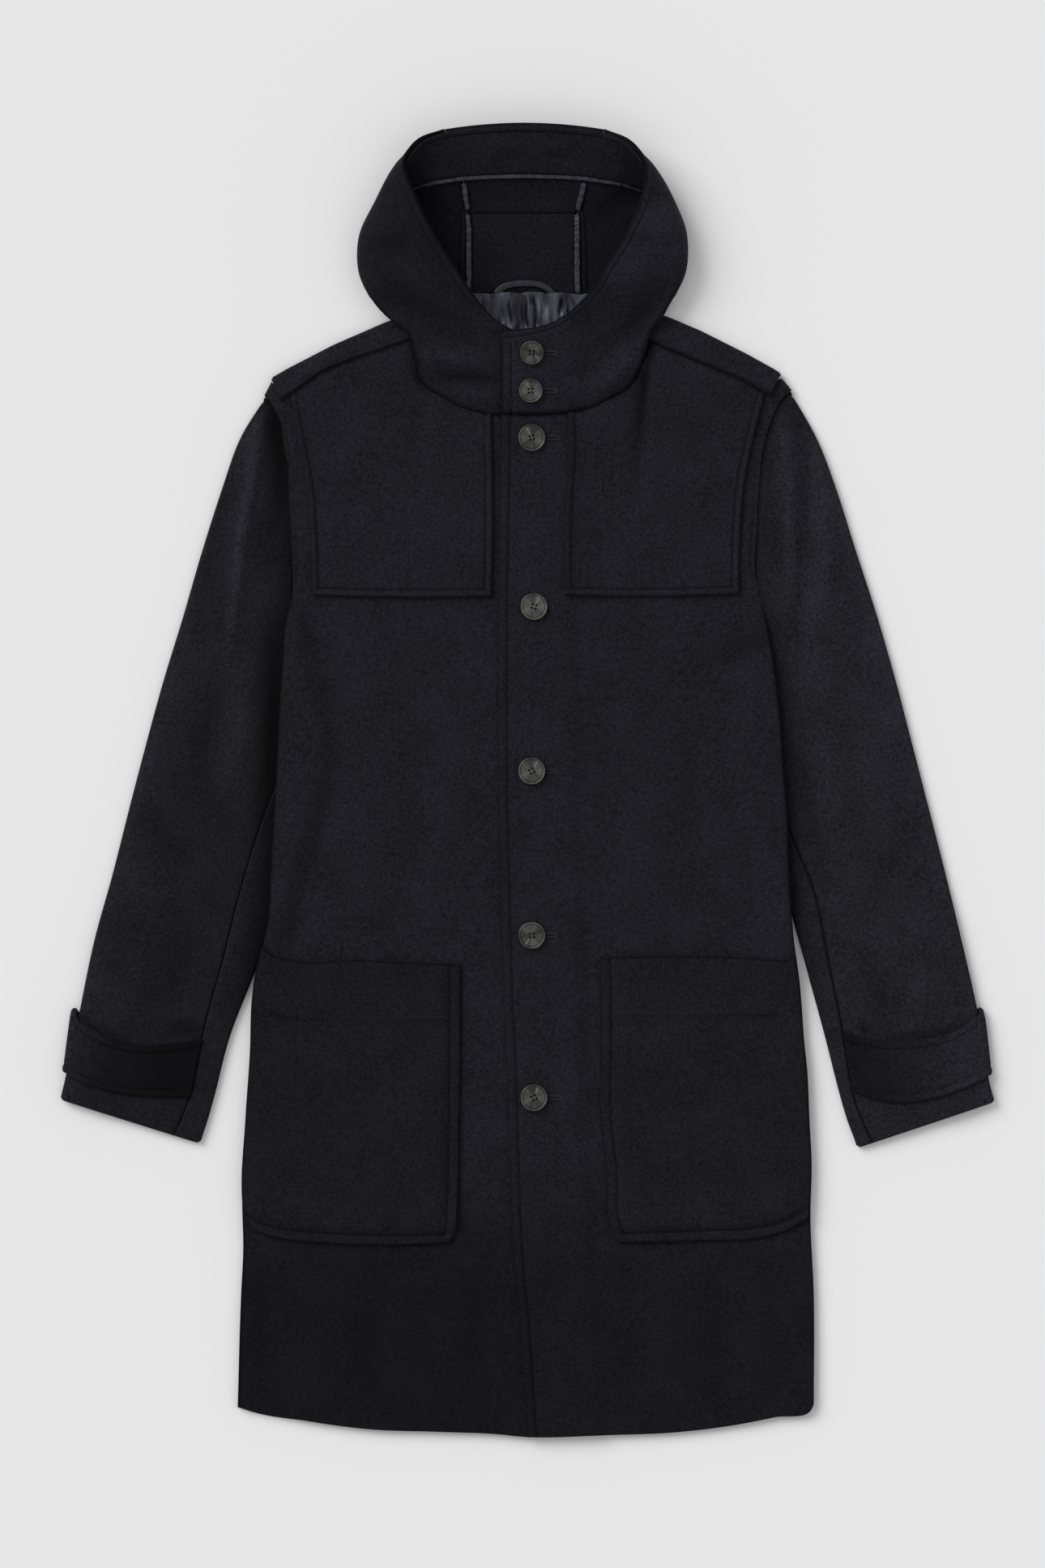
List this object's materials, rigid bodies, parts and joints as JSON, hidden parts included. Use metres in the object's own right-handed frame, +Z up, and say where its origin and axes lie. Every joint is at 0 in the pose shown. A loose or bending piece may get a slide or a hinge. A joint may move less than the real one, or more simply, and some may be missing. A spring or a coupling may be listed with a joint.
{
  "type": "hooded wool coat",
  "caption": "Long hooded duffle coat in dark felted wool, laid flat and buttoned, with the hood propped open.",
  "frame": {"origin": "centre of the coat's outline in plan, on the surface that it lies on", "axes": "+X towards the wearer's left sleeve, +Y from the hem towards the hood, +Z up from the back towards the front"},
  "size_m": [0.8417, 1.1826, 0.051],
  "materials": {
    "wool": "felted, matt",
    "satin": "woven satin, soft sheen",
    "horn": "polished horn look"
  },
  "bodies": {
    "root": {"back": "wool", "yoke": "wool", "front_right": "wool", "front_left": "wool", "chest_patch_right": "wool", "chest_patch_left": "wool", "pocket_right": "wool", "pocket_left": "wool", "sleeve_top_right": "wool", "sleeve_top_left": "wool", "sleeve_under_right": "wool", "sleeve_under_left": "wool", "strap_right": "wool", "strap_left": "wool", "hood_side_right": "wool", "hood_side_left": "wool", "hood_crown": "wool", "hood_back": "wool", "hood_facing": "wool", "lining": "satin", "facing_binding": "satin", "hanger_loop": "satin", "seam_tape_upper_right": "satin", "seam_tape_upper_left": "satin", "seam_tape_lower_right": "satin", "seam_tape_lower_left": "satin", "button_hood_1": "horn", "button_hood_2": "horn", "button_front_1": "horn", "button_front_2": "horn", "button_front_3": "horn", "button_front_4": "horn", "button_front_5": "horn"}
  },
  "joints": []
}
